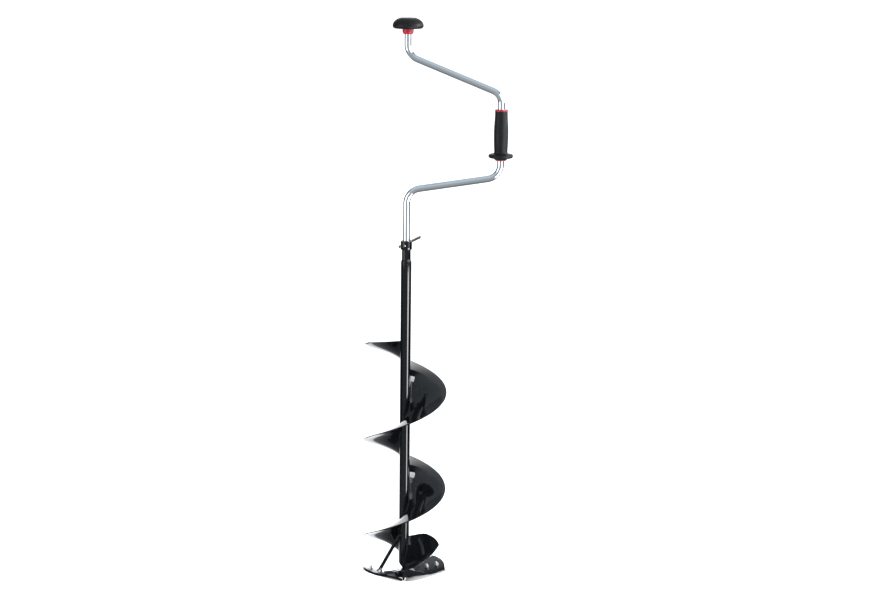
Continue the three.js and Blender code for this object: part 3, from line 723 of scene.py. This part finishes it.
def holder_outline():
    front = smooth_line([(2.8, 15.5), (20, 9.5), (38.7, 1.3), (66.6, -6.3), (83, -5.2)], 8)
    leading, trailing = math.asin(-4 / HOLDER_R), math.radians(START - 2.5)
    rim = [(HOLDER_R * math.cos(a), HOLDER_R * math.sin(a)) for a in np.linspace(leading, trailing, 26)]
    return [tuple(p) for p in front] + rim + [(13.6, 14.3), (8, 19.5), (2.8, 19.5)]


def cos_off_flat(angle):
    """The cosine of the turn from the middle of a hexagon's nearest flat."""
    return math.cos((angle + math.pi / 6) % (math.pi / 3) - math.pi / 6)


def hexagon(flat):
    """Trims a turned radius to a hexagon with that distance from its centre to a flat."""
    return lambda r, z, angle: min(r, flat / cos_off_flat(angle))


def countersunk_bolt():
    """A bolt with a hexagon socket in its head, which points down."""
    socket = lambda r, z, angle: r if r > 2 else r / cos_off_flat(angle)
    head = lathe([(0, 1.5), (1.75, 1.5), (1.75, 0.12), (2.2, -0.02), (5.0, -0.02), (5.25, 0.12), (3, 2.3),
                  (3, 4), (0, 4)], 72, socket)
    return merged(head, thread(2.55, 3.0, 3.5, 17.5, 1.0))


def lock_nut(bottom):
    """A hexagon with chamfered corners and the rounded collar of a nylon-insert nut."""
    hexagonal = lathe([(3.0, 0), (5.0, 0), (5.8, 0.5), (5.8, 3.3), (5.1, 3.8), (3.0, 3.8)], 96, hexagon(5.0))
    collar = lathe([(3.0, 3.4), (4.55, 3.4), *arc(3.75, 4.2, 0.8, 0.8, 0, 90, 4), (3.0, 5)], 72)
    return moved(merged(hexagonal, collar), Matrix.Translation((0, 0, bottom)))


NUT_Z = (BLADE_T + 0.3 + HOLDER_T) * HEAD_UP.z + 0.02
countersink = lathe([(0, -1), (6.1, -1), (5.4, 0.05), (3.2, 2.2), (3.2, 5), (0, 5)], 48)

for side, turn in (("right", Matrix.Identity(4)), ("left", half_turn)):
    sinks = [moved(countersink, turn @ on_plate(x, y)) for x, y in BOLTS]
    make(f"cutting_blade_{side}", moved(blade_piece(), turn), BLADE, "shaft",
         [f"blade_{side}"], sharp=8, cutters=sinks)
    make(f"holder_plate_{side}", moved(plate(holder_outline(), HOLDER_LOW, HOLDER_HIGH), turn), PAINT,
         "shaft", [f"blade_holder_{side}"], bevel=0.7)
    for i, (x, y) in enumerate(BOLTS, 1):
        stand = turn @ on_plate(x, y)
        make(f"head_bolt_{side}_{i}", moved(countersunk_bolt(), stand), PLATED, "shaft",
             [f"blade_bolt_{side}_{i}"], sharp=30)
        make(f"head_nut_{side}_{i}", moved(lock_nut(NUT_Z), stand), PLATED, "shaft",
             [f"blade_nut_{side}_{i}"], sharp=30)


def upright(outline, half_thickness):
    """A standing plate across Y, from an (x, z) outline."""
    return loft([[(x, y, z) for x, z in outline] for y in (-half_thickness, half_thickness)])


def foot(x):
    """The height of the holder's upper side under the web's long arm."""
    return level(x, 2, HOLDER_HIGH) + 0.1


REACH = 47
long_arm = upright([(-REACH, foot(REACH)), (0, foot(0)), (REACH, foot(REACH)), (REACH, foot(REACH) + 1.5),
                    (30, 26.5), (16, 29), (2.5, 34.5), (-2.5, 34.5), (-16, 29), (-30, 26.5),
                    (-REACH, foot(REACH) + 1.5)], 2)
cross_arm = moved(upright([(-19.5, 9), (19.5, 9), (19.5, 15), (11, 34.5), (-11, 34.5), (-19.5, 15)], 2.5),
                  Matrix.Rotation(math.pi / 2, 4, "Z"))
make("web_long_arm", long_arm, PAINT, "shaft", bevel=0.5)
make("web_cross_arm", cross_arm, PAINT, "shaft", ["head_web"], bevel=0.5)

ROD_TOP, ROD_FOOT, ROD_R = np.array((-9.0, -8.0, 118.0)), np.array((-60.0, 0.0, 22.0)), 4.2


def rod_piece():
    way = (ROD_FOOT - ROD_TOP) / np.linalg.norm(ROD_FOOT - ROD_TOP)
    side = np.cross(way, (0, 1, 0))
    side /= np.linalg.norm(side)
    other = np.cross(way, side)
    turns = np.linspace(0, 2 * math.pi, 36, endpoint=False)
    ring = lambda at, r: at + np.outer(np.cos(turns), side) * r + np.outer(np.sin(turns), other) * r
    length = np.linalg.norm(ROD_FOOT - ROD_TOP)
    spots = [(0.0, ROD_R - 0.8), (0.9, ROD_R), *[(d, ROD_R) for d in np.linspace(6, length - 6, 12)],
             (length - ROD_R, ROD_R)]
    return loft([ring(ROD_TOP + way * d, r) for d, r in spots])


make("brace", rod_piece(), PAINT, "shaft", ["brace_rod"])


def ring_bead(centre, normal, radius_a, radius_b, size, start=0, end=330):
    """A bead round an ellipse in the plane across a normal."""
    normal = np.array(normal, float)
    normal /= np.linalg.norm(normal)
    first = np.cross(normal, (0, 1, 0))
    first /= np.linalg.norm(first)
    second = np.cross(normal, first)
    turns = np.radians(np.linspace(start, end, 50))
    return bead(np.array(centre) + np.outer(np.cos(turns), first) * radius_a
                + np.outer(np.sin(turns), second) * radius_b, size, up=normal)


def seam(points, size=1.6):
    """A straight or curved bead through a few points."""
    line = []
    for a, b in zip(points[:-1], points[1:]):
        line += [np.array(a) + (np.array(b) - np.array(a)) * t for t in np.linspace(0, 1, 12, endpoint=False)]
    return bead(line + [np.array(points[-1])], size)


head_beads = []
for turn in (Matrix.Identity(4), half_turn):
    beads = []
    for y in (-2.6, 2.6):
        beads.append(seam([(x, y, level(x, max(y, 0), HOLDER_HIGH) + 0.5) for x in (9, 20, 32, 46)], 1.5))
    trail = math.radians(START - 1)
    edge = [(r * math.cos(trail), r * math.sin(trail)) for r in (24, 40, 56, 72, 90)]
    beads.append(seam([(a, b, level(a, b, HOLDER_HIGH) + 0.3) for a, b in edge], 1.7))
    head_beads += [moved(b, turn) for b in beads]
foot_normal = (half_turn.to_3x3() @ HEAD_UP)[:]
rod_foot_z = level(60, 0, HOLDER_HIGH) + 0.6
head_beads.append(ring_bead((-59.0, 0.0, rod_foot_z), foot_normal, 4.0, 3.7, 1.5))
head_beads.append(ring_bead((-10.5, -8.0, 114.5), (-0.72, -0.6, -0.35), 4.2, 3.8, 1.5))
make("head_welds", merged(*head_beads), PAINT, "shaft", sharp=60)


# ---- Pieces that keep their solid shape -------------------------------------------------------------

for name, node in frame["nodes"].items():
    entry = next(s for s in frame["record"]["subparts"] if s["node"] == name)
    node.data.materials.clear()
    node.data.materials.append(FINISHES[entry["material_slot"]])


# ---- Floor, light and camera ------------------------------------------------------------------------

def stage_floor():
    mesh = bpy.data.meshes.new("floor")
    reach = 30
    mesh.from_pydata([(-reach, -reach, 0), (reach, -reach, 0), (reach, reach, 0), (-reach, reach, 0)], [],
                     [(0, 1, 2, 3)])
    floor = bpy.data.objects.new("floor", mesh)
    bpy.context.scene.collection.objects.link(floor)
    floor.location.z = cad_box[0][2] - 0.0005
    shade = Shader("floor", Roughness=0.9)
    shade.surface.inputs["Base Color"].default_value = (0.9, 0.9, 0.9, 1)
    shade.surface.inputs["Specular IOR Level"].default_value = 0.0
    shade.surface.inputs["Emission Color"].default_value = (1, 1, 1, 1)
    shade.surface.inputs["Emission Strength"].default_value = 0.9
    mesh.materials.append(shade.material)
    floor.visible_glossy = False
    floor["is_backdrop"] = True


stage_floor()


def softbox(name, azimuth, distance, height, width, tall, radiance, target_height=None, kind="all"):
    """A rectangular light in metres, at an azimuth counted from the camera's side, positive to the right.
    A glossy one is a card that only shows in reflections, and a matte one only lights by diffusion."""
    light = bpy.data.lights.new(name, "AREA")
    light.shape = "RECTANGLE"
    light.size, light.size_y = width, tall
    light.energy = radiance * math.pi * width * tall
    obj = bpy.data.objects.new(name, light)
    turn = math.radians(azimuth)
    obj.location = (distance * math.sin(turn), -distance * math.cos(turn), height)
    aim = Vector((0, 0, height if target_height is None else target_height)) - obj.location
    obj.rotation_euler = aim.to_track_quat("-Z", "Y").to_euler()
    obj.visible_camera = False
    obj.visible_diffuse = kind != "glossy"
    obj.visible_glossy = kind != "matte"
    bpy.context.scene.collection.objects.link(obj)
    return obj


softbox("key_softbox", 92, 2.9, 1.95, 1.8, 1.5, 12.0, target_height=0.4)
softbox("right_low_card", 53, 2.8, -0.65, 1.7, 1.8, 14.0, kind="glossy")
softbox("right_high_card", 56, 2.8, 1.3, 2.2, 1.9, 1.9, kind="glossy")
softbox("left_softbox", -58, 2.6, 1.25, 2.1, 1.9, 1.7)
head_light = softbox("head_light", 12, 2.2, 1.5, 0.5, 0.5, 2.0, target_height=0.0, kind="matte")
head_light.data.spread = math.radians(16)


def studio_world():
    """What the gloss reflects: a white wall behind, dark sides, a dim front and a pale floor."""
    world = bpy.data.worlds.new("studio")
    world.use_nodes = True
    tree = world.node_tree
    tree.nodes.clear()

    def node(kind, inputs=(), **settings):
        made = tree.nodes.new(kind)
        for key, value in settings.items():
            setattr(made, key, value)
        for socket, value in enumerate(inputs):
            if isinstance(value, bpy.types.NodeSocket):
                tree.links.new(value, made.inputs[socket])
            elif value is not None:
                made.inputs[socket].default_value = value
        return made

    def calc(kind, *inputs):
        return node("ShaderNodeMath", inputs, operation=kind).outputs[0]

    def ramp(value, start, end):
        inputs = (value, start, end, 0.0, 1.0)
        return node("ShaderNodeMapRange", inputs, interpolation_type="SMOOTHSTEP").outputs["Result"]

    def mix(share, first, second):
        made = node("ShaderNodeMix", data_type="RGBA")
        tree.links.new(share, made.inputs[0])
        for index, value in ((6, first), (7, second)):
            if isinstance(value, bpy.types.NodeSocket):
                tree.links.new(value, made.inputs[index])
            else:
                made.inputs[index].default_value = (*value, 1)
        return made.outputs[2]

    way = node("ShaderNodeSeparateXYZ", (node("ShaderNodeTexCoord").outputs["Generated"],)).outputs
    back = calc("MAXIMUM", way[1], 0.001)
    across = calc("ABSOLUTE", calc("DIVIDE", way[0], back))
    rise = calc("DIVIDE", way[2], back)
    in_wall = calc("MULTIPLY", calc("SUBTRACT", 1.0, ramp(across, 0.62, 0.72)),
                   calc("MULTIPLY", ramp(rise, -0.86, -0.74), calc("SUBTRACT", 1.0, ramp(rise, 1.76, 1.84))))
    in_wall = calc("MULTIPLY", in_wall, ramp(way[1], 0.0, 0.05))
    dark_side = calc("MULTIPLY", ramp(way[1], -0.32, -0.12), calc("SUBTRACT", 1.0, ramp(way[2], 0.5, 0.8)))
    floor = calc("SUBTRACT", 1.0, ramp(way[2], -0.6, -0.35))
    leftwards = calc("DIVIDE", way[0], back)
    dim_left = calc("MULTIPLY", calc("SUBTRACT", 1.0, ramp(leftwards, -0.3, -0.05)), ramp(rise, 0.2, 0.5))
    wall = mix(ramp(rise, 0.1, 1.1), (1.7, 1.75, 1.8), (0.72, 0.75, 0.79))
    wall = mix(dim_left, wall, (0.3, 0.31, 0.33))
    color = mix(ramp(way[2], 0.15, 0.6), (0.36, 0.40, 0.43), (0.52, 0.60, 0.66))
    color = mix(dark_side, color, (0.025, 0.025, 0.03))
    color = mix(floor, color, mix(ramp(way[2], -0.95, -0.6), (0.2, 0.205, 0.21), (0.34, 0.35, 0.36)))
    color = mix(in_wall, color, wall)
    seen = node("ShaderNodeLightPath").outputs["Is Camera Ray"]
    color = mix(seen, color, (1.0, 1.0, 1.0))
    background = node("ShaderNodeBackground", (color,))
    out = node("ShaderNodeOutputWorld")
    tree.links.new(background.outputs[0], out.inputs[0])
    bpy.context.scene.world = world


studio_world()


CAMERA_AT, LENS, DOWNWARDS, ROLL = (0.069, -4.826, 1.5865), 88.43, 10.7, 0.62


def camera():
    data = bpy.data.cameras.new("camera")
    data.sensor_width, data.lens = 36, LENS
    data.clip_end = 100
    obj = bpy.data.objects.new("camera", data)
    obj.location = CAMERA_AT
    pitch, roll = math.radians(90 - DOWNWARDS), math.radians(ROLL)
    obj.rotation_euler = (Matrix.Rotation(pitch, 3, "X") @ Matrix.Rotation(roll, 3, "Z")).to_euler()
    bpy.context.scene.collection.objects.link(obj)
    bpy.context.scene.camera = obj


camera()
bpy.context.scene.view_settings.view_transform = "Standard"

plain = lambda box: [[float(c) for c in corner] for corner in box]
{"cad": plain(cad_box), "visual": plain(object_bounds())}
